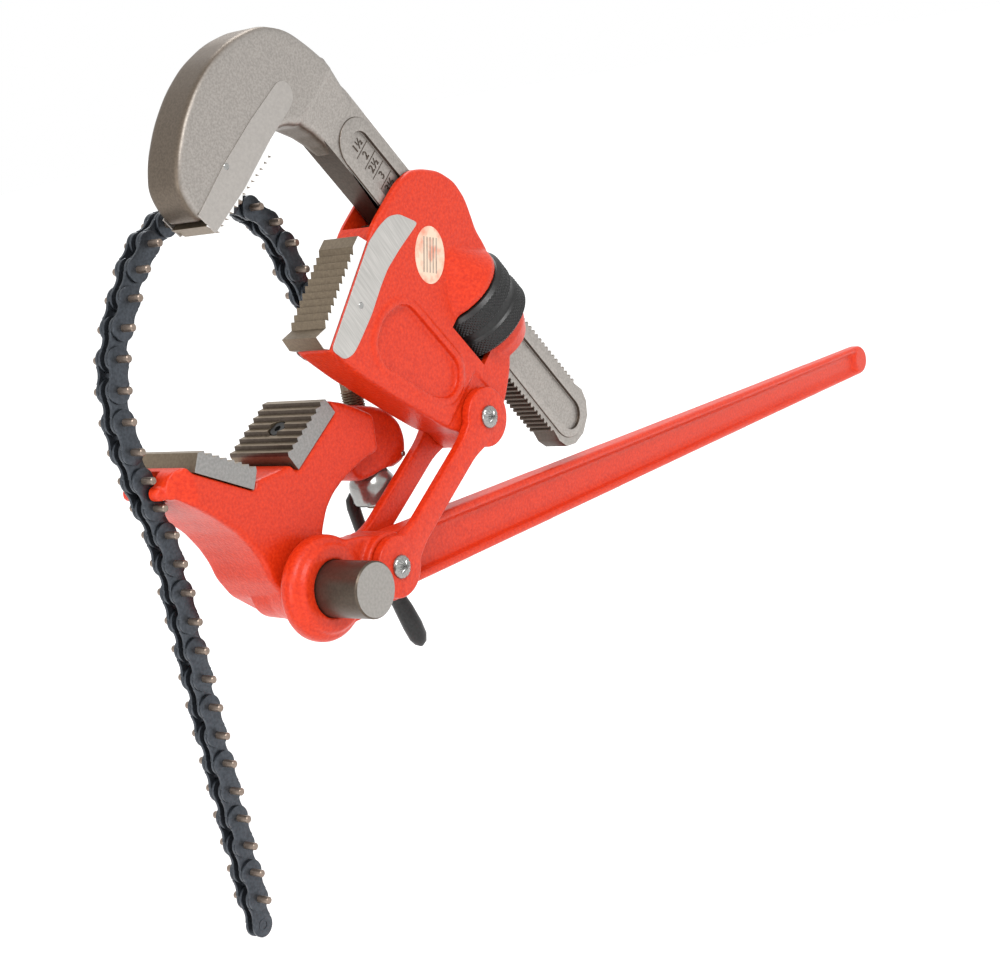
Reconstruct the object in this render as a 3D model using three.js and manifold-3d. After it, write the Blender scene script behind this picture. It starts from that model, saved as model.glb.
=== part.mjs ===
// Compound leverage pipe wrench: a chain vise (trunnion) grips a level pipe, and a pipe wrench head,
// joined to a long handle by two links, grips the same pipe beside it.
//
// Finished frame, millimetres: +X along the handle, +Z up, origin on the axis of the pipe in the vise.
// Every piece is drawn side-on in a profile frame, with x as in the finished frame, y up and w sideways
// (w = 0 is the middle of the vise). The last group turns that frame up so that w points along -Y.

import * as THREE from 'three';
import { mergeVertices } from 'three/addons/utils/BufferGeometryUtils.js';
import Module from 'manifold-3d';

const wasm = await Module();
wasm.setup();

// ---- driving dimensions ---------------------------------------------------------------------------

const GAP = 0.3; // running clearance between touching pieces

// main pin, from the pipe axis in the vise
const MAIN_PIN = { x: 7, y: -158 };
const MAIN_PIN_R = 24.7;
const MAIN_PIN_END = 115;
const SPIGOT_R = 18;

// vise
const VISE_HALF_W = 36.2;
const V_AXIS_X = -7; // middle of the V, from the main pin
const V_SEAT_Y = 100; // height of the inner end of each jaw seat
const V_INNER = 28; // from the middle of the V to the inner end of each seat
const V_ANGLE = Math.PI / 6;
const JAW_LENGTH = 68;
const JAW_THICK = 20;
const JAW_TOOTH = 8.5;
const SCREW_X = 142.5; // chain screw axis, from the main pin
const SCREW_R = 10.3;
const HORN = { x: -119.5, y: 124.5, r: 6, half: 22.5 };
const KEEPER = { x: SCREW_X + 29, y: 68, r: 2.6 }; // small pin beside the nut

// chain: 1 inch pitch
const PITCH = 25.4;
const LINK_COUNT = 36;
const PLATE_HALF = 10.8;
const WAIST_HALF = 8.2;
const CHAIN_PIN_R = 3.2;
const CHAIN_HOLE_R = 3.8;
const CHAIN_PIN_HALF = 21;
const BUSH_R = 5.4;
const INNER_PLATE = [2.7, 5.6];
const OUTER_PLATE = [5.9, 8.8];
const TONGUE_HALF = 5.5;
// the chain's way from the screw's eye, over the pipe, into the horns and straight down
const CHAIN_ROUTE = [
  [142.5, 166], [122, 212], [103, 254], [97.5, 281], [66.5, 321], [4, 337], [-57, 318], [-91.5, 280],
  [-118, 237], [-128.5, 188], [-124.5, 138], [-119.5, 113], [-114.5, 88], [-114.5, -100], [-114.5, -330],
];

// wrench plane, handle and links
const WRENCH_W = 54;
const HANDLE_TILT = THREE.MathUtils.degToRad(-3.6);
const HANDLE_LENGTH = 988;
const EYE_R = 46.5;
const EYE_HALF_W = 14.4;
const RIVET_REACH = 67.6; // main pin to lower rivet
const BOSS_R = 32;
const LINK_LENGTH = 181.7;
const LINK_ANGLE = THREE.MathUtils.degToRad(29.6);
const LINK_EYE_R = 28;
const LINK_HALF = 12;
const LINK_INNER = 20.5;
const LINK_OUTER = 30.5;
const RIVET_R = 8;
const RIVET_HOLE_R = RIVET_R + 0.4;
const RIVET_HEAD_R = 10.6;

// wrench head, drawn along its shank: u from hook to tail, v across, origin on the upper rivet
const HEAD_TILT = THREE.MathUtils.degToRad(-53.5);
const SHANK_MID = 92;
const SHANK_HALF = 32;
const SHANK_HALF_W = 13.3;
const RACK_PITCH = 6.35;
const HEAD_HALF_W = 20.5;
const HOUSING_HALF_W = 22;
const CAVITY_HALF_W = 16;
const NUT_R = 48;
const NUT_BORE_R = 35.1;
const NUT_SPAN = [-78, -26.5];

// ---- finishes -------------------------------------------------------------------------------------

const paint = new THREE.MeshStandardMaterial({ color: 0xe8401f, roughness: 0.45, metalness: 0 });
const forged = new THREE.MeshStandardMaterial({ color: 0xa39a92, roughness: 0.5, metalness: 0.8 });
const hardened = new THREE.MeshStandardMaterial({ color: 0x6e6257, roughness: 0.55, metalness: 0.8 });
const blackened = new THREE.MeshStandardMaterial({ color: 0x1c1b1b, roughness: 0.6, metalness: 0.4 });
const bright = new THREE.MeshStandardMaterial({ color: 0xc9c8c6, roughness: 0.25, metalness: 1 });
const chainSteel = new THREE.MeshStandardMaterial({ color: 0x4b4f54, roughness: 0.4, metalness: 0.8 });

// ---- solids ---------------------------------------------------------------------------------------

function solid(geometry) {
  const bare = geometry.index ? geometry.toNonIndexed() : geometry.clone();
  for (const key of Object.keys(bare.attributes)) if (key !== 'position') bare.deleteAttribute(key);
  const merged = mergeVertices(bare, 1e-4);
  const triVerts = [];
  const index = merged.index.array;
  for (let i = 0; i < index.length; i += 3) {
    const [a, b, c] = [index[i], index[i + 1], index[i + 2]];
    if (a !== b && b !== c && c !== a) triVerts.push(a, b, c);
  }
  return new wasm.Manifold(new wasm.Mesh({
    numProp: 3,
    vertProperties: new Float32Array(merged.attributes.position.array),
    triVerts: new Uint32Array(triVerts),
  }));
}

const union = (...pieces) => pieces.reduce((whole, piece) => whole.add(piece));
const minus = (whole, ...cuts) => cuts.reduce((left, cut) => left.subtract(cut), whole);

function shapeOf(outline) {
  if (outline instanceof THREE.Shape) return outline;
  return new THREE.Shape(outline.map(([x, y]) => new THREE.Vector2(x, y)));
}

// an outline drawn side-on, from w0 to w1
function prism(outline, w0, w1, curveSegments = 3) {
  const options = { depth: w1 - w0, bevelEnabled: false, curveSegments };
  return solid(new THREE.ExtrudeGeometry(shapeOf(outline), options).translate(0, 0, w0));
}

// the same with its edges rounded by `round`, within the outline
function roundedPrism(outline, w0, w1, round, segments = 1) {
  const options = {
    depth: w1 - w0 - 2 * round, bevelThickness: round, bevelSize: round, bevelOffset: -round,
    bevelSegments: segments, curveSegments: 6,
  };
  return solid(new THREE.ExtrudeGeometry(shapeOf(outline), options).translate(0, 0, w0 + round));
}

// an outline drawn from above as [x, w], from y0 to y1
function slab(outline, y0, y1) {
  const flipped = outline.map(([x, w]) => [x, -w]);
  const options = { depth: y1 - y0, bevelEnabled: false };
  const geometry = new THREE.ExtrudeGeometry(shapeOf(flipped), options);
  return solid(geometry.rotateX(-Math.PI / 2).translate(0, y0, 0));
}

// a round bar along w
function rod(x, y, r, w0, w1, sides = 16) {
  const bar = new THREE.CylinderGeometry(r, r, w1 - w0, sides).rotateX(Math.PI / 2);
  return solid(bar.translate(x, y, (w0 + w1) / 2));
}

// a round bar along y
function post(x, w, r, y0, y1, sides = 20) {
  return solid(new THREE.CylinderGeometry(r, r, y1 - y0, sides).translate(x, (y0 + y1) / 2, w));
}

function block(x0, x1, y0, y1, w0, w1) {
  const box = new THREE.BoxGeometry(x1 - x0, y1 - y0, w1 - w0);
  return solid(box.translate((x0 + x1) / 2, (y0 + y1) / 2, (w0 + w1) / 2));
}

// a turned piece: [radius, distance along the axis], its axis along y
function turnedGeometry(profile, sides = 24) {
  return new THREE.LatheGeometry(profile.map(([r, y]) => new THREE.Vector2(r, y)), sides);
}

function ringProfile(profile) {
  return [...profile, profile[0]];
}

// matching cross-sections joined into one closed body; each station is a ring of [x, y, w] points
function loft(stations) {
  const ringSize = stations[0].length;
  const flat = stations[0].map(([, y, w]) => new THREE.Vector2(w, y));
  const cap = THREE.ShapeUtils.triangulateShape(flat, []).map((face) => face.slice().sort((i, j) => i - j));
  const positions = [];
  const push = (point) => positions.push(point[0], point[1], point[2]);
  for (let s = 0; s + 1 < stations.length; s += 1) {
    for (let i = 0; i < ringSize; i += 1) {
      const j = (i + 1) % ringSize;
      const [a, b] = [stations[s][i], stations[s][j]];
      const [c, d] = [stations[s + 1][j], stations[s + 1][i]];
      [a, b, c, a, c, d].forEach(push);
    }
  }
  const [first, last] = [stations[0], stations[stations.length - 1]];
  for (const [i, j, k] of cap) [first[i], first[k], first[j]].forEach(push);
  for (const [i, j, k] of cap) [last[i], last[j], last[k]].forEach(push);
  const geometry = new THREE.BufferGeometry();
  geometry.setAttribute('position', new THREE.Float32BufferAttribute(positions, 3));
  return solid(geometry);
}

function mesh(name, body, material) {
  const { vertProperties, triVerts } = body.getMesh();
  const geometry = new THREE.BufferGeometry();
  geometry.setAttribute('position', new THREE.BufferAttribute(vertProperties, 3));
  geometry.setIndex(new THREE.BufferAttribute(triVerts, 1));
  geometry.computeVertexNormals();
  const piece = new THREE.Mesh(geometry, material);
  piece.name = name;
  return piece;
}

// ---- vise -----------------------------------------------------------------------------------------

// one side of the V: side is -1 for the left and 1 for the right
function seatGroup(side) {
  const group = new THREE.Group();
  group.position.set(V_AXIS_X + side * V_INNER, V_SEAT_Y, 0);
  group.rotation.z = side * V_ANGLE;
  return group;
}

// drawn in the seat's own frame, whose x runs outwards on the right and inwards on the left
function viseJawOutline(side) {
  const teeth = Math.floor(JAW_LENGTH / JAW_TOOTH);
  const top = [];
  for (let i = 0; i < teeth; i += 1) {
    const start = i * JAW_TOOTH;
    top.push([start + 1, JAW_THICK - 2.2], [start + JAW_TOOTH - 1.5, JAW_THICK]);
  }
  const outline = [[0, GAP], ...top, [JAW_LENGTH, JAW_THICK - 2.2], [JAW_LENGTH, GAP]];
  return outline.map(([x, y]) => [side * x, y]);
}

const JAW_SCREW = { head: 8, shank: 4.6, headDepth: 9, length: 34 };

function viseJaw(side) {
  const x = (side * JAW_LENGTH) / 2;
  const hole = union(
    post(x, 0, JAW_SCREW.head + 0.8, JAW_THICK - JAW_SCREW.headDepth - GAP, JAW_THICK + 5, 16),
    post(x, 0, JAW_SCREW.shank + 0.5, -5, JAW_THICK, 16),
  );
  return minus(prism(viseJawOutline(side), -VISE_HALF_W, VISE_HALF_W), hole);
}

function jawScrew(side) {
  const top = JAW_THICK - 3;
  const neck = JAW_THICK - JAW_SCREW.headDepth;
  const profile = [
    [0, top - JAW_SCREW.length], [JAW_SCREW.shank, top - JAW_SCREW.length], [JAW_SCREW.shank, neck],
    [JAW_SCREW.head, neck], [JAW_SCREW.head, top], [3.5, top], [3.5, top - 3], [0, top - 3],
  ];
  return solid(turnedGeometry(profile, 16).translate((side * JAW_LENGTH) / 2, 0, 0));
}

function seatCorner(side, distance) {
  const x = V_AXIS_X + side * (V_INNER + distance * Math.cos(V_ANGLE));
  return [x, V_SEAT_Y + distance * Math.sin(V_ANGLE)];
}

function viseBody() {
  const outline = [
    [-112, 139.5], [-118, 131], [HORN.x - HORN.r + 0.5, HORN.y], [HORN.x, HORN.y - HORN.r], [-111, 117],
    [-97.5, 104], [-79.5, 88.5], [-61.5, 70], [-49.5, 51.5], [-42.5, 36], [-38.5, 20], [-27, 0],
    [0, -20], [20, -12], [33.5, 39], [44.5, 56], [56.5, 66], [72.5, 74], [103, 83], [124, 85],
    [128, 118], [110, 130], [94, 139], [75, 146.5],
    seatCorner(1, JAW_LENGTH + 1), seatCorner(1, -2), [V_AXIS_X + 22, 106.5], [V_AXIS_X - 22, 106.5],
    seatCorner(-1, -2), seatCorner(-1, JAW_LENGTH + 2), [-99, 141],
  ];
  const boss = [
    [100, 84], [108, 60], [160, 59], [175, 62], [181, 78], [179, 96], [165, 113], [141, 124], [112, 132],
  ];
  const body = union(
    roundedPrism(outline, -VISE_HALF_W + GAP, VISE_HALF_W - GAP, 2.5),
    roundedPrism(boss, -20, 20, 4),
    rod(HORN.x, HORN.y, HORN.r, -HORN.half, HORN.half, 16),
    rod(0, 0, 27.5, -12, VISE_HALF_W - GAP, 28),
  );
  const taper = [[-96, 40], [-96, 36.5], [-108, 30], [-128, 22.5], [-140, 22.5], [-140, 40]];
  const noseTaper = [1, -1].map((side) => slab(taper.map(([x, w]) => [x, side * w]), 95, 150));
  const scallop = prism([[40, 40], [72, 66], [100, 76], [128, 78], [128, 60], [100, 40], [60, 20]], -40, 40);
  const nutRoom = turnedGeometry([[0, 50], [22.6, 50], [22.6, 60], [13.6, 68], [0, 68]], 24);
  const flare = turnedGeometry([[0, 112], [15, 118], [24, 140], [0, 140]], 20);
  return minus(
    body,
    block(-150, -107.5, 95, 160, -11.5, 11.5),
    ...noseTaper,
    rod(0, 0, SPIGOT_R + 0.5, -20, 50, 24),
    post(SCREW_X, 0, SCREW_R + 0.7, 40, 150, 20),
    solid(nutRoom.translate(SCREW_X, 0, 0)),
    solid(flare.translate(SCREW_X, 0, 0)),
    rod(KEEPER.x, KEEPER.y, KEEPER.r + GAP, -30, 30, 12),
    scallop.intersect(block(0, 128, 30, 78, -40, 40)),
    ...[-1, 1].map((side) => {
      const hole = new THREE.CylinderGeometry(JAW_SCREW.shank + 0.5, JAW_SCREW.shank + 0.5, 60, 16);
      const [x, y] = seatCorner(side, JAW_LENGTH / 2);
      return solid(hole.rotateZ(side * V_ANGLE).translate(x, y, 0));
    }),
  );
}

function mainPin() {
  const shoulder = VISE_HALF_W + GAP;
  const profile = [
    [0, -12], [SPIGOT_R, -12], [SPIGOT_R, shoulder], [MAIN_PIN_R, shoulder], [MAIN_PIN_R, MAIN_PIN_END - 1.2],
    [MAIN_PIN_R - 1.2, MAIN_PIN_END], [0, MAIN_PIN_END],
  ];
  return solid(turnedGeometry(profile, 24).rotateX(Math.PI / 2));
}

// ---- chain screw, nut and crank -------------------------------------------------------------------

const EYE_Y = CHAIN_ROUTE[0][1];

function chainScrew() {
  const neck = [
    [SCREW_X - 8.5, EYE_Y - 30], [SCREW_X + 8.5, EYE_Y - 30], [SCREW_X + 9.5, EYE_Y], [SCREW_X - 9.5, EYE_Y],
  ];
  const shank = [[0, 26], [SCREW_R - 1.5, 26], [SCREW_R, 28], [SCREW_R, 140], [7, 148], [0, 148]];
  const tongue = union(
    rod(SCREW_X, EYE_Y, PLATE_HALF, -TONGUE_HALF, TONGUE_HALF, 16),
    prism(neck, -TONGUE_HALF, TONGUE_HALF),
    solid(turnedGeometry(shank, 20).translate(SCREW_X, 0, 0)),
  );
  return minus(tongue, rod(SCREW_X, EYE_Y, CHAIN_HOLE_R, -20, 20, 10));
}

const CRANK_TURN = THREE.MathUtils.degToRad(-229.7);
const CRANK_REACH = 22.6;
const CRANK_TIP = { r: -12.3, y: -115 };
const CRANK_BAR = 6.5; // half the bar's thickness
const CRANK_INNER = 14; // where the bar starts inside the nut
const CRANK_TOP_Y = 39.5;
const CRANK_RUN = new THREE.Vector2(CRANK_TIP.r - CRANK_REACH, CRANK_TIP.y - CRANK_TOP_Y);
const CRANK_LEAN = Math.atan2(CRANK_RUN.x, -CRANK_RUN.y);
const CRANK_LENGTH = CRANK_RUN.length();

// the crank is drawn in its own plane through the screw axis, then turned about that axis
function crankPlaced(geometry) {
  return solid(geometry.rotateY(CRANK_TURN).translate(SCREW_X, 0, 0));
}

function crankLeg(grow) {
  const side = 2 * (CRANK_BAR + grow);
  const inner = CRANK_INNER - grow;
  const outer = CRANK_REACH + CRANK_BAR;
  const leg = new THREE.BoxGeometry(outer - inner, side, side);
  return crankPlaced(leg.translate((inner + outer) / 2, CRANK_TOP_Y, 0));
}

function crankBar(grow) {
  const side = 2 * (CRANK_BAR + grow);
  const bar = new THREE.BoxGeometry(side, 80, side).translate(0, -36, 0);
  return crankPlaced(bar.rotateZ(CRANK_LEAN).translate(CRANK_REACH, CRANK_TOP_Y, 0));
}

function crankGrip() {
  const profile = [
    [0, -CRANK_LENGTH], [3, -CRANK_LENGTH], [7.5, 4 - CRANK_LENGTH], [9.6, 14 - CRANK_LENGTH],
    [9.4, 26 - CRANK_LENGTH], [7.4, -80], [6.2, -60], [0, -60],
  ];
  return crankPlaced(turnedGeometry(profile, 16).rotateZ(CRANK_LEAN).translate(CRANK_REACH, CRANK_TOP_Y, 0));
}

function crank() {
  return union(crankLeg(0), crankBar(0), crankGrip());
}

function chainNut() {
  const bore = SCREW_R + 0.5;
  const profile = [[bore, 31], [18.5, 31], [21.6, 35], [21.6, 50], [19.5, 56], [13.2, 66], [bore, 66]];
  const ring = solid(turnedGeometry(ringProfile(profile), 24).translate(SCREW_X, 0, 0));
  return minus(ring, crankLeg(GAP), crankBar(GAP));
}

// ---- chain ----------------------------------------------------------------------------------------

// pin centres, stepped off along the route at one pitch
function chainPins() {
  const route = CHAIN_ROUTE.map(([x, y]) => new THREE.Vector3(x, y, 0));
  const curve = new THREE.CatmullRomCurve3(route, false, 'centripetal');
  const samples = curve.getSpacedPoints(6000);
  const pins = [samples[0]];
  for (const point of samples) {
    if (pins.length <= LINK_COUNT && point.distanceTo(pins[pins.length - 1]) >= PITCH) {
      const last = pins[pins.length - 1];
      pins.push(point.clone().sub(last).setLength(PITCH).add(last));
    }
  }
  return pins;
}

// a waisted plate from the pin at x = 0 to the pin at x = PITCH
function plateOutline() {
  const shape = new THREE.Shape();
  const open = THREE.MathUtils.degToRad(48);
  shape.absarc(0, 0, PLATE_HALF, open, -open, false);
  shape.lineTo(PITCH / 2, -WAIST_HALF);
  shape.absarc(PITCH, 0, PLATE_HALF, -Math.PI + open, Math.PI - open, false);
  shape.lineTo(PITCH / 2, WAIST_HALF);
  shape.closePath();
  return shape;
}

function outerLink() {
  const [near, far] = OUTER_PLATE;
  return union(
    prism(plateOutline(), near, far, 2),
    prism(plateOutline(), -far, -near, 2),
    rod(0, 0, CHAIN_PIN_R, -CHAIN_PIN_HALF, CHAIN_PIN_HALF, 6),
    rod(PITCH, 0, CHAIN_PIN_R, -CHAIN_PIN_HALF, CHAIN_PIN_HALF, 6),
  );
}

function innerLink() {
  const [near, far] = INNER_PLATE;
  const body = union(
    prism(plateOutline(), near, far, 2),
    prism(plateOutline(), -far, -near, 2),
    rod(0, 0, BUSH_R, -near - 0.1, near + 0.1, 6),
    rod(PITCH, 0, BUSH_R, -near - 0.1, near + 0.1, 6),
  );
  return minus(body, rod(0, 0, CHAIN_HOLE_R, -10, 10, 6), rod(PITCH, 0, CHAIN_HOLE_R, -10, 10, 6));
}

function chainLinks() {
  const pins = chainPins();
  const links = [];
  for (let i = 0; i < LINK_COUNT; i += 1) {
    const name = `chain_link_${String(i + 1).padStart(2, '0')}`;
    const link = mesh(name, i % 2 === 0 ? outerLink() : innerLink(), chainSteel);
    const run = pins[i + 1].clone().sub(pins[i]);
    link.position.copy(pins[i]);
    link.rotation.z = Math.atan2(run.y, run.x);
    links.push(link);
  }
  return links;
}

// ---- handle and links -----------------------------------------------------------------------------

// an I section at distance x: half height, half flange width, flange thickness, half web thickness
function iSection(x, height, flange, thick, web) {
  const inner = height - thick;
  const half = [
    [height, flange], [inner + 3, flange], [inner - 2, web], [-inner + 2, web], [-inner - 3, flange],
    [-height, flange],
  ];
  const other = half.slice().reverse().map(([y, w]) => [y, -w]);
  return [...half, ...other].map(([y, w]) => [x, y, w]);
}

function handle() {
  const eyeProfile = [
    [MAIN_PIN_R + GAP, -EYE_HALF_W], [36, -EYE_HALF_W], [38.5, -11], [43.5, -8.5], [EYE_R, -3], [EYE_R, 3],
    [43.5, 8.5], [38.5, 11], [36, EYE_HALF_W], [MAIN_PIN_R + GAP, EYE_HALF_W],
  ];
  const eye = solid(turnedGeometry(ringProfile(eyeProfile), 24).rotateX(Math.PI / 2));
  const neck = [[20, 37], [60, 31], [60, -31], [20, -38]];
  const beam = loft([
    iSection(58, 27, 13, 9, 5), iSection(150, 26, 13, 8.5, 4), iSection(690, 19.5, 10, 7, 3.5),
    iSection(HANDLE_LENGTH - 17, 17, 8, 6, 3.5),
  ]);
  const body = union(
    roundedPrism(neck, -12, 12, 2),
    rod(RIVET_REACH, 0, BOSS_R, -LINK_INNER + GAP, LINK_INNER - GAP, 24),
    beam,
    rod(HANDLE_LENGTH - 17, 0, 17, -8, 8, 24),
  );
  const pinRoom = rod(0, 0, MAIN_PIN_R + 3, -30, 30, 24);
  return minus(body, pinRoom, rod(RIVET_REACH, 0, RIVET_HOLE_R, -30, 30)).add(eye);
}

function link(w0, w1) {
  const flare = [[14, 24], [40, LINK_HALF], [40, -LINK_HALF], [14, -24]];
  const farFlare = flare.map(([x, y]) => [LINK_LENGTH - x, -y]);
  const body = union(
    rod(0, 0, LINK_EYE_R, w0, w1, 24),
    rod(LINK_LENGTH, 0, LINK_EYE_R, w0, w1, 24),
    block(0, LINK_LENGTH, -LINK_HALF, LINK_HALF, w0, w1),
    prism(flare, w0, w1),
    prism(farFlare, w0, w1),
  );
  return minus(body, ...[0, LINK_LENGTH].map((x) => rod(x, 0, RIVET_HOLE_R, w0 - 5, w1 + 5)));
}

function rivet() {
  const face = LINK_OUTER + GAP;
  const half = [
    [RIVET_R, face], [RIVET_HEAD_R, face], [RIVET_HEAD_R, face + 1.5], [7, face + 4.2], [0, face + 5.2],
  ];
  const back = half.map(([r, w]) => [r, -w]).reverse();
  return solid(turnedGeometry([...back, ...half], 16).rotateX(Math.PI / 2));
}

// ---- wrench head ----------------------------------------------------------------------------------

function housing() {
  const outline = [
    [-193, -75], [-174, -72], [-147, -67], [-100, -55], [-58, -44], [-30, -36], [-14, -28], [0, -29], [14, -25],
    [24, -16], [29, 0], [27, 14], [22, 28], [19, 41], [12, 59], [5, 72], [-7, 84], [-22, 88],
    [-24, 129], [-71, 130], [-89, 136], [-104, 138], [-118, 145], [-134, 152], [-154, 154], [-175, 147], [-192, 134],
    [-204, 121], [-211, 100], [-213, 50], [-210.5, 32],
  ];
  const ear = LINK_INNER - GAP;
  const nutCollars = [
    [[0, -150], [15, -150], [24, -132], [34, -112], [41, -96], [44, -86], [44, -80], [0, -80]],
    [[0, -24.5], [37, -24.5], [36, -14], [30, 0], [0, 12]],
  ].map((profile) => solid(turnedGeometry(profile, 20).rotateZ(-Math.PI / 2).translate(0, SHANK_MID, 0)));
  const panel = [
    [-158, -7], [-152, -35], [-135, -44], [-66, -27], [-46, -14], [-42, 4], [-54, 21], [-143, 21],
  ];
  return minus(
    union(roundedPrism(outline, -HOUSING_HALF_W, HOUSING_HALF_W, 3), ...nutCollars),
    block(-230, 60, 47, 129.5, -CAVITY_HALF_W, CAVITY_HALF_W),
    block(NUT_SPAN[0] - 2, NUT_SPAN[1] + 2, 42, 180, -40, 40),
    block(-32, 60, -60, 29.5, ear, 40),
    block(-32, 60, -60, 29.5, -40, -ear),
    prism(panel, HOUSING_HALF_W - 1.5, 40),
    prism(panel, -40, -HOUSING_HALF_W + 1.5),
    heelTongue(GAP),
    rod(HEEL_PIN.x, HEEL_PIN.y, 3.3, -40, 40, 12),
    rod(0, 0, RIVET_HOLE_R, -40, 40),
  );
}

// teeth from one end of a jaw face to the other, their points on the line between the ends
function teethBetween([x0, y0], [x1, y1], count, depth) {
  const points = [];
  for (let i = 0; i < count; i += 1) {
    const at = (t) => [x0 + (x1 - x0) * t, y0 + (y1 - y0) * t];
    const [tipX, tipY] = at(i / count);
    const [rootX, rootY] = at((i + 0.75) / count);
    points.push([tipX, tipY], [rootX + depth, rootY]);
  }
  return points;
}

const HEEL_PIN = { x: -186, y: -20 };

function heelTongue(grow) {
  return block(-208, -179 + grow, -46 - grow, 6 + grow, -8 - grow, 8 + grow);
}

function heelInsert() {
  const outline = [
    [-193.4, -74.4], [-210.9, 31.6], [-222, 28], ...teethBetween([-221.5, 16], [-211, -64], 11, 4),
    [-212, -76], [-199, -78],
  ];
  const body = union(prism(outline, -HEAD_HALF_W, HEAD_HALF_W), heelTongue(0));
  return minus(body, rod(HEEL_PIN.x, HEEL_PIN.y, 3.3, -40, 40, 12));
}

const HOOK_PIN = { x: -371, y: -29 };

function hookTongue(grow) {
  return block(-376 - grow, -352, -46 - grow, -10 + grow, -8 - grow, 8 + grow);
}

function hookInsert() {
  const teeth = teethBetween([-345, -76], [-336.5, 20], 13, -4);
  const outline = [[-359.5, -82], ...teeth, [-338, 24], [-353.6, 22]];
  const body = union(prism(outline, -HEAD_HALF_W, HEAD_HALF_W), hookTongue(0));
  return minus(body, rod(HOOK_PIN.x, HOOK_PIN.y, 3.3, -40, 40, 12));
}

function insertPin(place) {
  return rod(place.x, place.y, 3, -HEAD_HALF_W - 1, HEAD_HALF_W + 1, 12);
}

// the shank's two toothed edges, from the inner end to the tail
function rackEdge(v, depth, from, to) {
  const points = [];
  for (let u = from; u < to; u += RACK_PITCH) points.push([u, v], [u + RACK_PITCH / 2, v - depth]);
  return points;
}

function hookJaw() {
  const head = [
    [-360, -82.5], [-381, -82], [-398, -76], [-412, -58], [-424, -30], [-430.5, 0], [-431, 30], [-424, 62],
    [-409, 93], [-385, 113], [-358, 121], [-330, 126], [-300, 126], [-300, 72], [-310, 66], [-322, 60], [-338, 48],
    [-347, 31], [-354, 22],
  ];
  const [low, high] = [SHANK_MID - SHANK_HALF, SHANK_MID + SHANK_HALF];
  const shank = [
    [-345, 126], [-345, 50], [-322, 60], [-297, 67], [-270, 71], [-248, 72], [-190, 72], [-182, low],
    ...rackEdge(low, -2.6, -160, 112), [118, low], [131, 63], [141, 74], [145.5, 90], [141, 108], [131, 119],
    [118, high], ...rackEdge(high, 2.6, -160, 112).reverse(), [-182, high], [-190, 126],
  ];
  const slots = [1, -1].flatMap((side) => [
    [[-272, 100], [-266, 110], [-256, 113], [-200, 109], [-200, 82], [-256, 83], [-268, 90]],
    [[-90, 105], [116, 105], [128, 101], [133, 91], [129, 81], [118, 76], [-90, 76]],
  ].map((outline) => {
    const [w0, w1] = [side * (SHANK_HALF_W - 2.5), side * (SHANK_HALF_W + 3)];
    return prism(outline, Math.min(w0, w1), Math.max(w0, w1));
  }));
  return minus(
    union(roundedPrism(head, -HEAD_HALF_W, HEAD_HALF_W, 5), prism(shank, -SHANK_HALF_W, SHANK_HALF_W)),
    ...slots,
    hookTongue(GAP),
    rod(HOOK_PIN.x, HOOK_PIN.y, 3.3, -40, 40, 12),
  );
}

function jawNut() {
  const [start, end] = NUT_SPAN;
  const groove = (start + end) / 2;
  const profile = ringProfile([
    [NUT_BORE_R, start], [NUT_R - 3, start], [NUT_R, start + 3], [NUT_R, groove - 5], [NUT_R - 3, groove - 3],
    [NUT_R - 3, groove + 3], [NUT_R, groove + 5], [NUT_R, end - 4], [NUT_R - 5, end], [NUT_BORE_R, end],
  ]);
  return solid(turnedGeometry(profile, 24).rotateZ(-Math.PI / 2).translate(0, SHANK_MID, 0));
}

// the flat leaf that presses on the shank, with the small coil under it
function jawSpring() {
  const leaf = [
    [-200, 62], [-186, 58.5], [-150, 57.5], [-112, 58.5], [-112, 57], [-150, 56], [-187, 57], [-201, 60.5],
  ];
  return union(prism(leaf, -9, 9), post(-150, 0, 6.5, 47.4, 56.4, 12));
}

// ---- assembly -------------------------------------------------------------------------------------

function viseGroup() {
  const group = new THREE.Group();
  group.add(
    mesh('trunnion_body', viseBody(), paint),
    mesh('main_pin', mainPin(), hardened),
    mesh('nut_keeper_pin', rod(KEEPER.x, KEEPER.y, KEEPER.r, -17, 20.4, 12), bright),
    mesh('chain_screw', chainScrew(), blackened),
    mesh('chain_nut', chainNut(), bright),
    mesh('crank_handle', crank(), blackened),
  );
  for (const [side, name] of [[-1, 'left'], [1, 'right']]) {
    const seat = seatGroup(side);
    seat.add(
      mesh(`${name}_vise_jaw`, viseJaw(side), hardened),
      mesh(`${name}_jaw_screw`, jawScrew(side), blackened),
    );
    group.add(seat);
  }
  group.add(...chainLinks());
  return group;
}

function headGroup() {
  const group = new THREE.Group();
  group.rotation.z = HEAD_TILT;
  group.add(
    mesh('housing', housing(), paint),
    mesh('heel_jaw_insert', heelInsert(), hardened),
    mesh('heel_jaw_pin', insertPin(HEEL_PIN), bright),
    mesh('hook_jaw', hookJaw(), forged),
    mesh('hook_jaw_insert', hookInsert(), hardened),
    mesh('hook_jaw_pin', insertPin(HOOK_PIN), bright),
    mesh('jaw_nut', jawNut(), blackened),
    mesh('jaw_spring', jawSpring(), bright),
  );
  return group;
}

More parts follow.
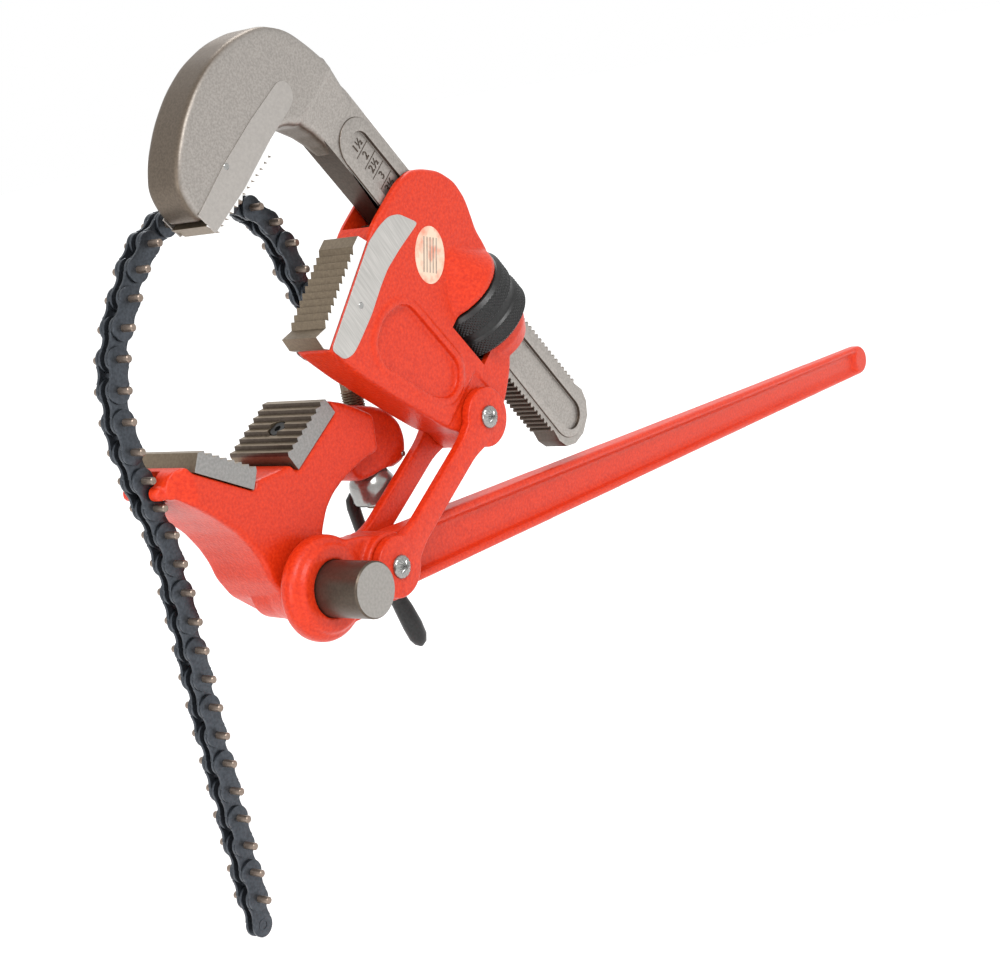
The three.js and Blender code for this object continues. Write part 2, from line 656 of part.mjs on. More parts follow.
function wrenchGroup() {
  const handleGroup = new THREE.Group();
  handleGroup.rotation.z = HANDLE_TILT;
  handleGroup.add(mesh('handle', handle(), paint));

  const linkGroup = new THREE.Group();
  linkGroup.position.set(RIVET_REACH * Math.cos(HANDLE_TILT), RIVET_REACH * Math.sin(HANDLE_TILT), 0);
  linkGroup.rotation.z = LINK_ANGLE;
  const upperRivet = mesh('upper_rivet', rivet(), bright);
  upperRivet.position.x = LINK_LENGTH;
  linkGroup.add(
    mesh('front_link', link(LINK_INNER, LINK_OUTER), paint),
    mesh('back_link', link(-LINK_OUTER, -LINK_INNER), paint),
    mesh('lower_rivet', rivet(), bright),
    upperRivet,
  );

  const head = headGroup();
  head.position.set(
    linkGroup.position.x + LINK_LENGTH * Math.cos(LINK_ANGLE),
    linkGroup.position.y + LINK_LENGTH * Math.sin(LINK_ANGLE),
    0,
  );

  const group = new THREE.Group();
  group.position.z = WRENCH_W;
  group.add(handleGroup, linkGroup, head);
  return group;
}

const fromMainPin = new THREE.Group();
fromMainPin.position.set(MAIN_PIN.x, MAIN_PIN.y, 0);
fromMainPin.add(viseGroup(), wrenchGroup());

const tool = new THREE.Group();
tool.rotation.x = Math.PI / 2;
tool.add(fromMainPin);

export default tool;
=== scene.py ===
"""Compound leverage pipe wrench with a chain vise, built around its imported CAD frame."""
import math

import bmesh
import bpy
from mathutils import Matrix, Vector


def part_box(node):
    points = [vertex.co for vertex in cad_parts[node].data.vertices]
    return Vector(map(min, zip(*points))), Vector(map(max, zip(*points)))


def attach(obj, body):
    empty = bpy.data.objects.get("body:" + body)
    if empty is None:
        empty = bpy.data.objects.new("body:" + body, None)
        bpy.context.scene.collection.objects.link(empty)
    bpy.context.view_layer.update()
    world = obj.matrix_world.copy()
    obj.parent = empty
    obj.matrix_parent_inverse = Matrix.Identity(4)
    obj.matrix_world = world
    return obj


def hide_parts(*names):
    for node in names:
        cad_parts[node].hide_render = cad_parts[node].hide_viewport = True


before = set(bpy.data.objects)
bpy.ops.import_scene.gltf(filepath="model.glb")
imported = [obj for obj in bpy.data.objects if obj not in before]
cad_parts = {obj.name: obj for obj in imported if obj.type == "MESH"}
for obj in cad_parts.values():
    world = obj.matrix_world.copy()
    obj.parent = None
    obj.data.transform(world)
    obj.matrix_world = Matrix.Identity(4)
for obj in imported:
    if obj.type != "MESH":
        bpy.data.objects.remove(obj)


def record_size():
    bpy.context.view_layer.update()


record_size()

# ---- frames: every piece is drawn side-on in millimetres, x right, y up, w towards the front side ----

MM = 0.001
UPRIGHT = Matrix.Rotation(math.pi / 2, 4, "X")
TOOL = Matrix.Translation((0.007, 0, -0.158)) @ UPRIGHT @ Matrix.Scale(MM, 4)
WRENCH_W = 54
HANDLE_TILT = math.radians(-3.6)
RIVET_REACH = 67.6
LINK_ANGLE = math.radians(29.6)
LINK_LENGTH = 181.7
HEAD_TILT = math.radians(-53.5)


def turned(angle):
    return Matrix.Rotation(angle, 4, "Z")


WRENCH = TOOL @ Matrix.Translation((0, 0, WRENCH_W))
HANDLE = WRENCH @ turned(HANDLE_TILT)
LOWER_RIVET = turned(HANDLE_TILT) @ Vector((RIVET_REACH, 0, 0))
LINKS = WRENCH @ Matrix.Translation(LOWER_RIVET) @ turned(LINK_ANGLE)
UPPER_RIVET = LOWER_RIVET + turned(LINK_ANGLE) @ Vector((LINK_LENGTH, 0, 0))
HEAD = WRENCH @ Matrix.Translation(UPPER_RIVET) @ turned(HEAD_TILT)

V_ANGLE = math.pi / 6
V_AXIS_X = -7
V_SEAT_Y = 100
V_INNER = 28
SCREW_X = 142.5
EYE_Y = 166

# ---- materials ---------------------------------------------------------------------------------------


class Finish:
    """A procedural surface: a base colour broken up by noise, with a fine grain or a brushed direction."""

    def __init__(self, name, color, roughness, metallic=0.0):
        self.material = bpy.data.materials.new(name)
        self.material.use_nodes = True
        self.nodes = self.material.node_tree.nodes
        self.links = self.material.node_tree.links
        self.shader = self.nodes["Principled BSDF"]
        self.color = (*color, 1)
        self.set("Base Color", self.color)
        self.set("Roughness", roughness)
        self.set("Metallic", metallic)
        self.tint = None
        self.height = None

    def set(self, socket, value):
        self.shader.inputs[socket].default_value = value

    def coordinates(self, stretch=(1, 1, 1), turn=0.0):
        """Object coordinates, turned about the Y axis and then stretched."""
        place = self.nodes.new("ShaderNodeTexCoord")
        scale = self.nodes.new("ShaderNodeMapping")
        scale.vector_type = "TEXTURE"
        scale.inputs["Rotation"].default_value = (0, turn, 0)
        scale.inputs["Scale"].default_value = [1 / s for s in stretch]
        self.links.new(place.outputs["Object"], scale.inputs["Vector"])
        return scale.outputs["Vector"]

    def noise(self, size_mm, detail=4, stretch=(1, 1, 1), turn=0.0):
        texture = self.nodes.new("ShaderNodeTexNoise")
        texture.inputs["Scale"].default_value = 1000 / size_mm
        texture.inputs["Detail"].default_value = detail
        self.links.new(self.coordinates(stretch, turn), texture.inputs["Vector"])
        return texture.outputs["Fac"]

    def ramp(self, value, low, high, dark, light):
        stops = self.nodes.new("ShaderNodeValToRGB")
        stops.color_ramp.elements[0].position = low
        stops.color_ramp.elements[1].position = high
        stops.color_ramp.elements[0].color = (*dark, 1)
        stops.color_ramp.elements[1].color = (*light, 1)
        self.links.new(value, stops.inputs["Fac"])
        return stops.outputs["Color"]

    def mottled(self, size_mm, dark, light, low=0.35, high=0.65, stretch=(1, 1, 1), turn=0.0):
        """Breaks the base colour up between two shades."""
        self.tint = self.ramp(self.noise(size_mm, 4, stretch, turn), low, high, dark, light)
        self.links.new(self.tint, self.shader.inputs["Base Color"])
        return self

    def darker_rim(self, shade, low=0.5, high=0.95):
        """Multiplies the colour by a shade where the surface turns away from the tool's two sides."""
        place = self.nodes.new("ShaderNodeTexCoord")
        split = self.nodes.new("ShaderNodeSeparateXYZ")
        size = self.nodes.new("ShaderNodeMath")
        size.operation = "ABSOLUTE"
        self.links.new(place.outputs["Normal"], split.inputs["Vector"])
        self.links.new(split.outputs["Y"], size.inputs[0])
        factor = self.ramp(size.outputs["Value"], low, high, shade, (1, 1, 1))
        mix = self.nodes.new("ShaderNodeVectorMath")
        mix.operation = "MULTIPLY"
        self.links.new(self.tint, mix.inputs[0])
        self.links.new(factor, mix.inputs[1])
        self.links.new(mix.outputs["Vector"], self.shader.inputs["Base Color"])
        return self

    def worn(self, size_mm, low, high):
        """Varies the roughness in patches."""
        value = self.noise(size_mm, 3)
        span = self.nodes.new("ShaderNodeMapRange")
        span.inputs["To Min"].default_value = low
        span.inputs["To Max"].default_value = high
        self.links.new(value, span.inputs["Value"])
        self.links.new(span.outputs["Result"], self.shader.inputs["Roughness"])
        return self

    def grain(self, size_mm, depth_mm, strength=1.0, detail=3, stretch=(1, 1, 1)):
        """Adds a bump, on top of any bump that is already there."""
        bump = self.nodes.new("ShaderNodeBump")
        bump.inputs["Distance"].default_value = depth_mm * MM
        bump.inputs["Strength"].default_value = strength
        self.links.new(self.noise(size_mm, detail, stretch), bump.inputs["Height"])
        if self.height is not None:
            self.links.new(self.height, bump.inputs["Normal"])
        self.height = bump.outputs["Normal"]
        self.links.new(self.height, self.shader.inputs["Normal"])
        return self


STREAK = (0.05, 1, 1)  # noise drawn out to twenty times its length


def red_paint(name):
    """Enamel over the fine grain of a casting."""
    paint = Finish(name, (0.54, 0.026, 0.004), 0.36)
    paint.mottled(2.6, (0.46, 0.017, 0.002), (0.62, 0.036, 0.006), 0.3, 0.7).worn(5, 0.28, 0.42)
    paint.set("Specular IOR Level", 0.3)
    return paint.grain(2.4, 0.5, 0.75).grain(9, 0.5, 0.25).material


def steel(name, shade, roughness, contrast=0.12, grain_mm=1.6, depth=0.06, metallic=0.85):
    """Bare metal: one shade broken up finely, so that no blotches show."""
    dark, light = ([c * factor for c in shade] for factor in (1 - contrast, 1 + contrast))
    metal = Finish(name, shade, roughness, metallic)
    metal.mottled(grain_mm * 1.5, dark, light).worn(3, roughness - 0.05, roughness + 0.08)
    return metal.grain(grain_mm, depth, 0.7)


def brushed_steel(name, dark, light, turn):
    """Bare metal with long fine streaks in one direction."""
    metal = Finish(name, light, 0.36, 0.6)
    return metal.mottled(1.5, dark, light, 0.3, 0.7, STREAK, turn).material


PAINT = red_paint("cast_red_paint")
CHAIN_STEEL = steel("chain_plate_steel", (0.055, 0.062, 0.072), 0.34, 0.2).material
PIN_STEEL = steel("chain_pin_steel", (0.24, 0.19, 0.155), 0.34).material
INSERT_STEEL = steel("insert_steel", (0.19, 0.15, 0.105), 0.42).material
GROUND_STEEL = steel("ground_steel", (0.8, 0.8, 0.79), 0.42, 0.04, 2.5, 0.02, 0.35).material
BRUSHED = brushed_steel("brushed_steel_strip", (0.37, 0.36, 0.34), (0.5, 0.485, 0.46), math.radians(60))
GROUND_DARK = steel("ground_insert_end", (0.27, 0.265, 0.255), 0.4).material
FORGED = steel("forged_steel", (0.34, 0.315, 0.29), 0.42, 0.13, 1.3, 0.1)
FORGED = FORGED.darker_rim((0.36, 0.31, 0.26)).material
BAND = steel("ground_band", (0.4, 0.375, 0.35), 0.38, 0.05).material
RACK_STEEL = steel("rack_edge_steel", (0.085, 0.066, 0.052), 0.38).material
BLACK = steel("blackened_steel", (0.022, 0.022, 0.022), 0.34, 0.2, 1.5, 0.04, 0.5).material
BRIGHT = steel("bright_steel", (0.3, 0.3, 0.29), 0.2, 0.06, 1.6, 0.03).material
PIN_SIDE = steel("main_pin_steel", (0.095, 0.075, 0.058), 0.34, 0.1).material
PIN_FACE = steel("main_pin_face", (0.3, 0.285, 0.265), 0.42, 0.08).material
LABEL = Finish("label_paper", (0.68, 0.5, 0.37), 0.4)
LABEL = LABEL.mottled(12, (0.66, 0.27, 0.18), (0.68, 0.52, 0.39), 0.36, 0.56).material
INK = Finish("label_ink", (0.3, 0.24, 0.2), 0.5).mottled(6, (0.27, 0.2, 0.16), (0.36, 0.29, 0.24)).material

# ---- outlines ----------------------------------------------------------------------------------------


def arc(x, y, radius, start, end, steps):
    """Points on an arc, its angles in degrees."""
    angles = [math.radians(start + (end - start) * i / steps) for i in range(steps + 1)]
    return [(x + radius * math.cos(a), y + radius * math.sin(a)) for a in angles]


def filleted(points, radius, steps=4):
    """The outline with every corner rounded, by less where its edges are short."""
    out = []
    count = len(points)
    for i, corner in enumerate(points):
        here = Vector(corner)
        back = Vector(points[i - 1]) - here
        ahead = Vector(points[(i + 1) % count]) - here
        reach = min(radius, back.length * 0.45, ahead.length * 0.45)
        start = here + back.normalized() * reach
        end = here + ahead.normalized() * reach
        for k in range(steps + 1):
            t = k / steps
            out.append(tuple(start * (1 - t) ** 2 + here * 2 * t * (1 - t) + end * t * t))
    return out


def area(points):
    pairs = zip(points, points[1:] + points[:1])
    return sum(a[0] * b[1] - b[0] * a[1] for a, b in pairs) / 2


def inset(points, distance):
    """The outline moved inwards along its corner normals."""
    side = 1 if area(points) > 0 else -1
    out = []
    for i, corner in enumerate(points):
        here = Vector(corner)
        run = Vector(points[(i + 1) % len(points)]) - Vector(points[i - 1])
        normal = Vector((-run.y, run.x)).normalized() * side
        out.append(tuple(here + normal * distance))
    return out


# ---- mesh makers -------------------------------------------------------------------------------------


def closed_mesh(rings):
    """A closed surface from rings of points, capped at both ends."""
    bm = bmesh.new()
    rows = [[bm.verts.new(p) for p in ring] for ring in rings]
    size = len(rows[0])
    for low, high in zip(rows, rows[1:]):
        for i in range(size):
            j = (i + 1) % size
            bm.faces.new((low[i], low[j], high[j], high[i]))
    bm.faces.new(rows[0][::-1])
    bm.faces.new(rows[-1])
    bmesh.ops.recalc_face_normals(bm, faces=bm.faces)
    return bm


def prism(outline, w0, w1, rounding=0.0, steps=3):
    """The outline between two heights, with rounded edges of the given radius."""
    if not rounding:
        return closed_mesh([[(x, y, w) for x, y in outline] for w in (w0, w1)])
    rings = []
    for k in range(steps + 1):
        t = math.pi / 2 * k / steps
        ring = inset(outline, rounding * (1 - math.sin(t)))
        rings.append([(x, y, w0 + rounding * (1 - math.cos(t))) for x, y in ring])
    middle = w0 + w1
    rings += [[(x, y, middle - w) for x, y, w in ring] for ring in rings[::-1]]
    return closed_mesh(rings)


def lathe(profile, sides=64):
    """A turned piece about the w axis from (radius, height) points, closed on the axis or on itself."""
    bm = bmesh.new()
    rows = []
    for radius, height in profile:
        if radius < 1e-6:
            rows.append([bm.verts.new((0, 0, height))] * sides)
            continue
        angles = [2 * math.pi * i / sides for i in range(sides)]
        rows.append([bm.verts.new((radius * math.cos(a), radius * math.sin(a), height)) for a in angles])
    if profile[0][0] > 1e-6:
        rows.append(rows[0])
    for low, high in zip(rows, rows[1:]):
        for i in range(sides):
            j = (i + 1) % sides
            corners = list(dict.fromkeys((low[i], low[j], high[j], high[i])))
            if len(corners) > 2:
                bm.faces.new(corners)
    bmesh.ops.recalc_face_normals(bm, faces=bm.faces)
    return bm


def moved(bm, matrix):
    bmesh.ops.transform(bm, matrix=matrix, verts=bm.verts)
    return bm


def rod(x, y, radius, w0, w1, chamfer=0.0, sides=48):
    """A round bar along w, its ends chamfered."""
    inner = radius - chamfer
    profile = [(0, w0), (inner, w0), (radius, w0 + chamfer), (radius, w1 - chamfer), (inner, w1), (0, w1)]
    profile = [p for i, p in enumerate(profile) if i == 0 or p != profile[i - 1]]
    return moved(lathe(profile, sides), Matrix.Translation((x, y, 0)))


UP = Matrix.Rotation(-math.pi / 2, 4, "X")  # turns the w axis to the y axis
ALONG = Matrix.Rotation(math.pi / 2, 4, "Y")  # turns the w axis to the x axis


def post(x, w, profile, sides=48):
    """A turned piece standing along y."""
    return moved(lathe(profile, sides), Matrix.Translation((x, 0, w)) @ UP)


def block(x0, x1, y0, y1, w0, w1):
    return prism([(x0, y0), (x1, y0), (x1, y1), (x0, y1)], w0, w1)


def slab(outline, y0, y1):
    """An outline of [x, w] points between two heights y."""
    return closed_mesh([[(x, y, w) for x, w in outline] for y in (y0, y1)])


def sweep(path, radii, sides=24):
    """A round bar along a path of points, with a radius at each."""
    rings = []
    for i, (point, radius) in enumerate(zip(path, radii)):
        ahead = Vector(path[min(i + 1, len(path) - 1)]) - Vector(path[max(i - 1, 0)])
        turn = ahead.to_track_quat("Z", "Y")
        angles = [2 * math.pi * k / sides for k in range(sides)]
        circle = [Vector((radius * math.cos(a), radius * math.sin(a), 0)) for a in angles]
        rings.append([Vector(point) + turn @ spoke for spoke in circle])
    return closed_mesh(rings)


# ---- objects -----------------------------------------------------------------------------------------


def as_object(bm, name="part"):
    if isinstance(bm, bpy.types.Object):
        return bm
    mesh = bpy.data.meshes.new(name)
    bm.to_mesh(mesh)
    bm.free()
    obj = bpy.data.objects.new(name, mesh)
    bpy.context.scene.collection.objects.link(obj)
    return obj


def settle(obj):
    """Applies the object's modifiers to its mesh."""
    graph = bpy.context.evaluated_depsgraph_get()
    mesh = bpy.data.meshes.new_from_object(obj.evaluated_get(graph))
    obj.modifiers.clear()
    old = obj.data
    obj.data = mesh
    bpy.data.meshes.remove(old)
    return obj


def combine(first, others, operation):
    """Joins shapes to, or cuts them from, the first one."""
    target = as_object(first)
    for bm in others:
        tool = as_object(bm)
        change = target.modifiers.new("combine", "BOOLEAN")
        change.object = tool
        change.operation = operation
        change.solver = "MANIFOLD"
        settle(target)
        bpy.data.meshes.remove(tool.data)
    return target


def union(first, *others):
    return combine(first, others, "UNION")


def minus(first, *cuts):
    return combine(first, cuts, "DIFFERENCE")


def cast(obj, voxel_mm, smoothing=5):
    """Gives the shape the soft edges and fillets of a casting."""
    obj.data.transform(Matrix.Scale(MM, 4))
    skin = obj.modifiers.new("skin", "REMESH")
    skin.mode = "VOXEL"
    skin.voxel_size = voxel_mm * MM
    settle(obj)
    soften = obj.modifiers.new("soften", "SMOOTH")
    soften.factor = 0.5
    soften.iterations = smoothing
    settle(obj)
    obj.data.transform(Matrix.Scale(1 / MM, 4))
    return obj


def present(shape, name, place, material, body, replaces=(), bevel_mm=0.0, angle=32):
    """Puts a finished shape in its place, gives it its finish and ties it to its body."""
    obj = as_object(shape)
    obj.name = name
    obj.data.name = name
    obj.data.transform(place)
    if place.determinant() < 0:
        obj.data.flip_normals()
    if not any(obj.data.materials):
        obj.data.materials.clear()
        obj.data.materials.append(material)
    obj.data.polygons.foreach_set("use_smooth", [True] * len(obj.data.polygons))
    obj.data.set_sharp_from_angle(angle=math.radians(angle))
    if bevel_mm:
        bevel = obj.modifiers.new("edges", "BEVEL")
        bevel.width = bevel_mm * MM
        bevel.segments = 3
        bevel.limit_method = "ANGLE"
        bevel.angle_limit = math.radians(angle)
        bevel.harden_normals = True
    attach(obj, body)
    if replaces:
        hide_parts(*replaces)
    return obj


def side_faces(obj, inner, face_material, other_material, limit=0.9):
    """Gives faces that look sideways (along w) one finish and the rest another, before placing."""
    obj = as_object(obj)
    obj.data.materials.clear()
    obj.data.materials.append(other_material)
    obj.data.materials.append(face_material)
    for face in obj.data.polygons:
        face.material_index = 1 if abs(face.normal.z) > limit and abs(face.center.z) > inner else 0
    return obj


# ---- vise --------------------------------------------------------------------------------------------

VISE_HALF_W = 36
HORN = (-119.5, 124.5)
HORN_HALF = 22.5
KEEPER = (171.5, 68)  # small pin beside the chain nut


def seat_corner(side, distance):
    x = V_AXIS_X + side * (V_INNER + distance * math.cos(V_ANGLE))
    return (x, V_SEAT_Y + distance * math.sin(V_ANGLE))


def seat_frame(side):
    return Matrix.Translation((V_AXIS_X + side * V_INNER, V_SEAT_Y, 0)) @ turned(side * V_ANGLE)


JAW_LENGTH = 68
JAW_THICK = 20
JAW_TOOTH = 8.5
JAW_STEP = 3.2  # depth of the vise jaws' teeth


def trunnion():
    outline = [
        (-112, 139.5), (-118, 131), (-119.5, 118.5), (-111, 117), (-97.5, 104), (-79.5, 88.5), (-61.5, 70),
        (-49.5, 51.5), (-42.5, 36), (-38.5, 20), (-27, 0), (0, -24), (20, -12), (33.5, 39), (44.5, 56),
        (56.5, 66), (72.5, 74), (103, 83), (124, 85), (128, 118), (110, 130), (94, 139), (75, 146.5),
        seat_corner(1, JAW_LENGTH + 1), seat_corner(1, -2), (V_AXIS_X + 22, 106.5), (V_AXIS_X - 22, 106.5),
        seat_corner(-1, -2), seat_corner(-1, JAW_LENGTH + 2), (-99, 141),
    ]
    boss = [
        (100, 84), (108, 60), (160, 59), (175, 62), (181, 78), (179, 96), (165, 113), (141, 124),
        (112, 132),
    ]
    half = VISE_HALF_W
    nose = [(-96, 40), (-96, 36.5), (-108, 30), (-128, 22.5), (-145, 22.5), (-145, 40)]
    body = minus(
        prism(filleted(outline, 5), -half, half, 4),
        slab(nose, 95, 150),
        slab([(x, -w) for x, w in nose], 95, 150),
    )
    hub = lathe([(0, -12), (24, -12), (27, -9), (28, 14), (31, 28), (33, half), (0, half)])
    body = union(
        body,
        prism(filleted(boss, 8), -20, 20, 6),
        rod(*HORN, 6.2, -HORN_HALF, HORN_HALF, 2),
        hub,
    )
    body = cast(body, 1.3, 6)
    return minus(
        body,
        block(-150, -107.5, 95, 160, -11.5, 11.5),
        post(SCREW_X, 0, [(0, 40), (11, 40), (11, 150), (0, 150)]),
        post(SCREW_X, 0, [(0, 45), (22, 45), (22, 60), (13.4, 68), (0, 68)]),
        post(SCREW_X, 0, [(0, 110), (13, 116), (19, 126), (24, 140), (0, 140)]),
        rod(*KEEPER, 2.8, -30, 30),
        rod(0, 0, 18.5, -20, 60),
    )


def vise_jaw(side):
    """Stepped jaw: every tooth climbs steeply on its side towards the V and falls away slowly behind."""
    top = []
    for i in range(round(JAW_LENGTH / JAW_TOOTH)):
        start = i * JAW_TOOTH
        top += [(start + 0.2, JAW_THICK - JAW_STEP), (start + 2.1, JAW_THICK)]
    outline = [(0, 0.3)] + top + [(JAW_LENGTH, JAW_THICK - JAW_STEP), (JAW_LENGTH, 0.3)]
    middle = side * JAW_LENGTH / 2
    jaw = prism([(side * x, y) for x, y in outline], -VISE_HALF_W, VISE_HALF_W)
    return minus(jaw, post(middle, 0, [(0, 8), (8.8, 8), (8.8, 30), (0, 30)]))


def darken_risers(jaw, side):
    """Gives the steep faces of the jaw's teeth, which look into the V, a darker finish."""
    jaw.data.materials.append(RACK_STEEL)
    for face in jaw.data.polygons:
        if -side * face.normal.x > 0.5 and face.center.y > JAW_THICK - JAW_STEP:
            face.material_index = 2


def socket_screw(side):
    hexagon = [(3.4 * math.cos(math.pi / 3 * i), 3.4 * math.sin(math.pi / 3 * i)) for i in range(6)]
    x = side * JAW_LENGTH / 2
    screw = post(x, 0, [(0, -17), (4.6, -17), (4.6, 10), (8, 10), (8, 16.4), (7.4, 17), (0, 17)])
    return minus(screw, slab([(x + a, b) for a, b in hexagon], 12.5, 20))


def build_vise():
    present(trunnion(), "trunnion_casting", TOOL, PAINT, "vise", ["trunnion_body"])
    for side, name in ((-1, "left"), (1, "right")):
        place = TOOL @ seat_frame(side)
        jaw = side_faces(vise_jaw(side), 20, GROUND_DARK, INSERT_STEEL)
        darken_risers(jaw, side)
        present(jaw, f"{name}_vise_jaw_block", place, INSERT_STEEL, "vise",
                [f"{name}_vise_jaw"], 0.5)
        present(socket_screw(side), f"{name}_jaw_cap_screw", place, BLACK, "vise",
                [f"{name}_jaw_screw"], 0.25)
    pin = lathe([
        (0, -12), (17, -12), (18, -11), (18, 36.5), (24.7, 36.5), (24.7, 113.6), (23.3, 115), (0, 115),
    ], 96)
    pin = side_faces(pin, 100, PIN_FACE, PIN_SIDE)
    present(pin, "main_pin_bar", TOOL, PIN_SIDE, "vise", ["main_pin"], 0.3)
    present(rod(*KEEPER, 2.6, -17, 20.6, 0.5), "keeper_pin", TOOL, BRIGHT, "vise",
            ["nut_keeper_pin"])


# ---- chain screw, nut and crank ----------------------------------------------------------------------

THREAD_PITCH = 2.54
SCREW_R = 10.3


def threaded_post(x, radius, depth, pitch, y0, y1, sides=40, rows_per_turn=8):
    """A post with a screw thread; the ridge climbs one pitch per turn."""
    rows = int((y1 - y0) / pitch * rows_per_turn)
    rings = []
    for k in range(rows + 1):
        y = y0 + (y1 - y0) * k / rows
        fade = min(1, (y - y0) / pitch, (y1 - y) / pitch)
        ring = []
        for i in range(sides):
            phase = (y / pitch + i / sides) % 1
            r = radius - depth * (1 - fade * (1 - abs(2 * phase - 1)))
            a = 2 * math.pi * i / sides
            ring.append((x + r * math.cos(a), y, r * math.sin(a)))
        rings.append(ring)
    return closed_mesh(rings)


def build_chain_screw():
    shank = threaded_post(SCREW_X, SCREW_R, 1.3, THREAD_PITCH, 27, 140)
    neck = post(SCREW_X, 0, [(0, 136), (9.3, 138), (8.6, 144), (6, 150), (0, 151)])
    eye = [
        *arc(SCREW_X, EYE_Y, 10.8, -30, 210, 24), (SCREW_X - 8, EYE_Y - 14), (SCREW_X - 8, EYE_Y - 28),
        (SCREW_X + 8, EYE_Y - 28), (SCREW_X + 8, EYE_Y - 14),
    ]
    tongue = minus(prism(eye, -5.5, 5.5, 1), rod(SCREW_X, EYE_Y, 3.5, -20, 20))
    screw = union(tongue, neck, shank)
    present(screw, "chain_screw_rod", TOOL, INSERT_STEEL, "chain_wrap", ["chain_screw"])
    nut = lathe([
        (10.8, 31), (18, 31), (20.8, 33), (21.6, 36), (21.6, 49), (20.6, 53), (18, 57), (13.4, 65.5),
        (10.8, 65.5),
    ])
    nut = minus(moved(nut, Matrix.Translation((SCREW_X, 0, 0)) @ UP), crank_shape(1.06))
    present(nut, "chain_nut_turned", TOOL, BRIGHT, "nut_and_crank", ["chain_nut"], 0.3)
    present(crank_shape(1), "crank_bar", TOOL, BLACK, "nut_and_crank", ["crank_handle"])


CRANK_TURN = math.radians(-229.7)


def crank_shape(grow):
    """A bar out of the nut, an elbow and a long leg that swells to a grip."""
    plan = [
        (12, 39.5, 5.6), (16, 39.5, 6), (19, 38.6, 6.3), (21, 36, 6.5), (21.6, 30, 6.4), (19.5, 10, 6.2),
        (14, -15, 6.2), (8, -38, 6.4), (2, -58, 7.4), (-3.5, -76, 9), (-8, -93, 9.6), (-10.8, -105, 8.8),
        (-12, -111.5, 6), (-12.3, -115, 1.5),
    ]
    turn = Matrix.Translation((SCREW_X, 0, 0)) @ Matrix.Rotation(CRANK_TURN, 4, "Y")
    path = [(r, y, 0) for r, y, size in plan]
    return moved(sweep(path, [size * grow for r, y, size in plan], 20), turn)


# ---- chain -------------------------------------------------------------------------------------------

PITCH = 25.4
LINK_COUNT = 36
PLATE_HALF = 10.8
WAIST_RADIUS = 17
PLATE_HALF_THICK = 1.45
OUTER_PLATE_W = 7.35  # middle of an outer plate, from the middle of the chain
INNER_PLATE_W = 4.15
PIN_PROFILE = [(0, -21), (2.4, -21), (3.2, -20.2), (3.2, 20.2), (2.4, 21), (0, 21)]
BUSH_PROFILE = [(3.7, -6), (5.4, -6), (5.4, 6), (3.7, 6)]


def plate_outline():
    """Two round ends about the pins, drawn in at the waist."""
    half = PITCH / 2
    rise = 8.2 + WAIST_RADIUS  # height of the waist arcs' centres
    lean = math.degrees(math.atan2(half, rise))
    end = 90 - lean
    return [
        *arc(-half, 0, PLATE_HALF, end, 360 - end, 22),
        *arc(0, -rise, WAIST_RADIUS - 0.4, 90 + lean * 0.9, 90 - lean * 0.9, 6),
        *arc(half, 0, PLATE_HALF, -180 + end, 180 - end, 22),
        *arc(0, rise, WAIST_RADIUS - 0.4, -90 + lean * 0.9, -90 - lean * 0.9, 6),
    ]


def link_mesh(outer):
    """One link: two plates, with its two pins or its two bushes."""
    middle = OUTER_PLATE_W if outer else INNER_PLATE_W
    shape = bmesh.new()
    for w in (-middle, middle):
        append(shape, prism(plate_outline(), w - PLATE_HALF_THICK, w + PLATE_HALF_THICK, 0.5, 2), 0)
    for x in (-PITCH / 2, PITCH / 2):
        profile = PIN_PROFILE if outer else BUSH_PROFILE
        append(shape, moved(lathe(profile, 24), Matrix.Translation((x, 0, 0))), int(outer))
    mesh = bpy.data.meshes.new("outer_link" if outer else "inner_link")
    shape.to_mesh(mesh)
    shape.free()
    mesh.materials.append(CHAIN_STEEL)
    mesh.materials.append(PIN_STEEL)
    return mesh


def append(target, source, material_index):
    """Moves the faces of one shape into another, with a material for all of them."""
    for face in source.faces:
        face.material_index = material_index
    mesh = bpy.data.meshes.new("piece")
    source.to_mesh(mesh)
    source.free()
    target.from_mesh(mesh)
    bpy.data.meshes.remove(mesh)


def link_place(node):
    """Where a link lies: its middle, and the direction in which its solid is longest."""
    points = [v.co for v in node.data.vertices]
    low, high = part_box(node.name)
    middle = (Vector(low) + Vector(high)) / 2
    xx = sum((p.x - middle.x) ** 2 for p in points)
    zz = sum((p.z - middle.z) ** 2 for p in points)
    xz = sum((p.x - middle.x) * (p.z - middle.z) for p in points)
    angle = math.atan2(2 * xz, xx - zz) / 2
    return Matrix.Translation(middle) @ UPRIGHT @ turned(angle) @ Matrix.Scale(MM, 4)


# the last link that moves with each body of the chain
LAST_LINKS = {
    "chain_wrap": 16, "chain_side": 19, "chain_hooked": 21, "tail_upper": 28, "tail_lower": LINK_COUNT,
}


def link_body(number):
    return next(body for body, last in LAST_LINKS.items() if number <= last)


def build_chain():
    meshes = {True: link_mesh(True), False: link_mesh(False)}
    for number in range(1, LINK_COUNT + 1):
        node = f"chain_link_{number:02d}"
        mesh = meshes[number % 2 == 1].copy()
        obj = bpy.data.objects.new("link", mesh)
        bpy.context.scene.collection.objects.link(obj)
        kind = "outer" if number % 2 else "inner"
        present(obj, f"{kind}_link_{number:02d}", link_place(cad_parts[node]), CHAIN_STEEL,
                link_body(number), [node])


# ---- handle and links --------------------------------------------------------------------------------

HANDLE_LENGTH = 988
LINK_EYE_R = 28
LINK_HALF = 12
RIVET_R = 8
PEEN_MARKS = 15  # radial hammer marks on a rivet's head


